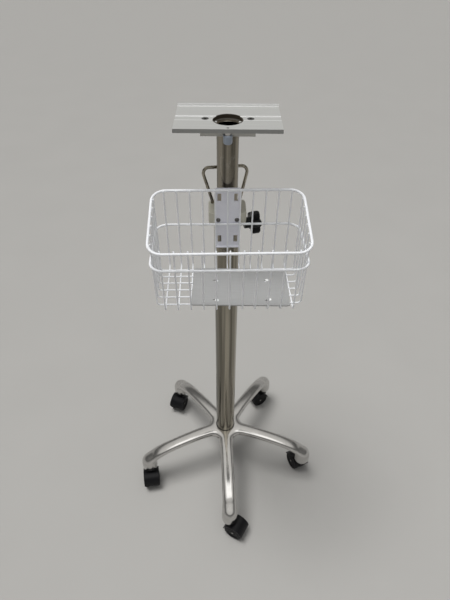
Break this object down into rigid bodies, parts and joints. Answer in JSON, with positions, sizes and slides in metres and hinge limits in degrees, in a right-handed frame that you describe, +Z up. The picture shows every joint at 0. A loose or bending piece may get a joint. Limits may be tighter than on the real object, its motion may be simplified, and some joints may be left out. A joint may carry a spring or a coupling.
{
  "type": "rolling equipment stand",
  "caption": "Rolling stand with a star base on twin-wheel casters, a telescopic steel column with clamp knob, a wire basket, a push handle and a device plate on top.",
  "frame": {"origin": "on the floor under the column's axis", "axes": "+Z up along the column, -Y to the front, where the basket hangs, +X to the right, where the clamp knob is"},
  "size_m": [0.4868, 0.4932, 1.0305],
  "materials": {
    "polished_base": "cast, polished and chrome plated",
    "polished_tube": "polished stainless steel",
    "steel": "bright zinc plated",
    "caster_black": "moulded, satin",
    "wheel_black": "moulded",
    "collar_grey": "moulded, fine grain",
    "knob_black": "moulded",
    "handle_steel": "polished wire",
    "bracket_white": "powder coated",
    "wire_white": "powder coated",
    "sheet_grey": "satin sheet",
    "bush_white": "moulded",
    "plate_aluminium": "satin anodised",
    "latch_grey": "anodised, turned"
  },
  "bodies": {
    "stand": {"star_base": "polished_base", "caster_stems": "steel", "column_plug": "steel", "column_bolt": "steel", "column_washer": "steel", "lower_tube": "polished_tube", "lock_collar": "collar_grey", "push_handle": "handle_steel", "basket_bracket": "bracket_white", "bracket_screws": "steel", "basket_rim": "wire_white", "basket_hoop": "wire_white", "basket_floor": "wire_white", "basket_front_wires": "wire_white", "basket_back_wires": "wire_white", "basket_side_wires": "wire_white"},
    "mast_carriage": {"foot_bush": "bush_white"},
    "mast": {"upper_tube": "polished_tube", "plate_flange": "plate_aluminium", "tube_screws": "steel", "device_plate": "plate_aluminium", "plate_screws": "steel", "latch_barrel": "steel", "latch_spring": "steel"},
    "latch": {"latch_pin": "steel", "latch_knob": "latch_grey"},
    "clamp_pad": {"clamp_tip": "bush_white"},
    "clamp_screw": {"clamp_stud": "steel", "clamp_knob": "knob_black"},
    "loose_plate": {"adapter_plate": "sheet_grey"},
    "front_caster": {"front_hood": "caster_black", "front_axle": "steel"},
    "front_wheel_a": {"front_wheel_a": "wheel_black"},
    "front_wheel_b": {"front_wheel_b": "wheel_black"},
    "right_caster": {"right_hood": "caster_black", "right_axle": "steel"},
    "right_wheel_a": {"right_wheel_a": "wheel_black"},
    "right_wheel_b": {"right_wheel_b": "wheel_black"},
    "back_right_caster": {"back_right_hood": "caster_black", "back_right_axle": "steel"},
    "back_right_wheel_a": {"back_right_wheel_a": "wheel_black"},
    "back_right_wheel_b": {"back_right_wheel_b": "wheel_black"},
    "back_left_caster": {"back_left_hood": "caster_black", "back_left_axle": "steel"},
    "back_left_wheel_a": {"back_left_wheel_a": "wheel_black"},
    "back_left_wheel_b": {"back_left_wheel_b": "wheel_black"},
    "left_caster": {"left_hood": "caster_black", "left_axle": "steel"},
    "left_wheel_a": {"left_wheel_a": "wheel_black"},
    "left_wheel_b": {"left_wheel_b": "wheel_black"}
  },
  "joints": [
    {"name": "mast_height", "type": "slide", "parent": "stand", "child": "mast_carriage", "axis": [0, 0, 1], "range_m": [-0.06, 0.24]},
    {"name": "mast_turn", "type": "hinge", "parent": "mast_carriage", "child": "mast", "pos_m": [0, 0, 0.54], "axis": [0, 0, 1], "continuous": true},
    {"name": "latch_pull", "type": "slide", "parent": "mast", "child": "latch", "axis": [0, 0, -1], "range_m": [0, 0.004], "stiffness_N_per_m": 1500, "deforming": ["latch_spring"]},
    {"name": "clamp_advance", "type": "slide", "parent": "stand", "child": "clamp_pad", "axis": [0.9659, 0.2588, 0], "range_m": [0, 0.0015]},
    {"name": "clamp_turn", "type": "hinge", "parent": "clamp_pad", "child": "clamp_screw", "pos_m": [0, 0, 0.8245], "axis": [0.9659, 0.2588, 0], "range_deg": [0, 360]},
    {"name": "loose_plate_lift", "type": "slide", "parent": "stand", "child": "loose_plate", "axis": [0, 0, 1], "range_m": [0, 0.2]},
    {"name": "front_swivel", "type": "hinge", "parent": "stand", "child": "front_caster", "pos_m": [0.01379, -0.23209, 0.05], "axis": [0, 0, 1], "continuous": true},
    {"name": "front_wheel_a_roll", "type": "hinge", "parent": "front_caster", "child": "front_wheel_a", "pos_m": [0.03111, -0.24209, 0.025], "axis": [0.5, 0.866, 0], "continuous": true},
    {"name": "front_wheel_b_roll", "type": "hinge", "parent": "front_caster", "child": "front_wheel_b", "pos_m": [0.03111, -0.24209, 0.025], "axis": [0.5, 0.866, 0], "continuous": true},
    {"name": "right_swivel", "type": "hinge", "parent": "stand", "child": "right_caster", "pos_m": [0.22499, -0.05861, 0.05], "axis": [0, 0, 1], "continuous": true},
    {"name": "right_wheel_a_roll", "type": "hinge", "parent": "right_caster", "child": "right_wheel_a", "pos_m": [0.21654, -0.04048, 0.025], "axis": [-0.9063, -0.4226, 0], "continuous": true},
    {"name": "right_wheel_b_roll", "type": "hinge", "parent": "right_caster", "child": "right_wheel_b", "pos_m": [0.21654, -0.04048, 0.025], "axis": [-0.9063, -0.4226, 0], "continuous": true},
    {"name": "back_right_swivel", "type": "hinge", "parent": "stand", "child": "back_right_caster", "pos_m": [0.12526, 0.19587, 0.05], "axis": [0, 0, 1], "continuous": true},
    {"name": "back_right_wheel_a_roll", "type": "hinge", "parent": "back_right_caster", "child": "back_right_wheel_a", "pos_m": [0.10794, 0.18587, 0.025], "axis": [0.5, -0.866, 0], "continuous": true},
    {"name": "back_right_wheel_b_roll", "type": "hinge", "parent": "back_right_caster", "child": "back_right_wheel_b", "pos_m": [0.10794, 0.18587, 0.025], "axis": [0.5, -0.866, 0], "continuous": true},
    {"name": "back_left_swivel", "type": "hinge", "parent": "stand", "child": "back_left_caster", "pos_m": [-0.14758, 0.17966, 0.05], "axis": [0, 0, 1], "continuous": true},
    {"name": "back_left_wheel_a_roll", "type": "hinge", "parent": "back_left_caster", "child": "back_left_wheel_a", "pos_m": [-0.15441, 0.16087, 0.025], "axis": [0.9397, -0.342, 0], "continuous": true},
    {"name": "back_left_wheel_b_roll", "type": "hinge", "parent": "back_left_caster", "child": "back_left_wheel_b", "pos_m": [-0.15441, 0.16087, 0.025], "axis": [0.9397, -0.342, 0], "continuous": true},
    {"name": "left_swivel", "type": "hinge", "parent": "stand", "child": "left_caster", "pos_m": [-0.21647, -0.08483, 0.05], "axis": [0, 0, 1], "continuous": true},
    {"name": "left_wheel_a_roll", "type": "hinge", "parent": "left_caster", "child": "left_wheel_a", "pos_m": [-0.213, -0.10453, 0.025], "axis": [0.9848, 0.1736, 0], "continuous": true},
    {"name": "left_wheel_b_roll", "type": "hinge", "parent": "left_caster", "child": "left_wheel_b", "pos_m": [-0.213, -0.10453, 0.025], "axis": [0.9848, 0.1736, 0], "continuous": true}
  ],
  "couplings": [
    {"joint": "clamp_turn", "follows": "clamp_advance", "rad_per_m": 4188.8}
  ]
}
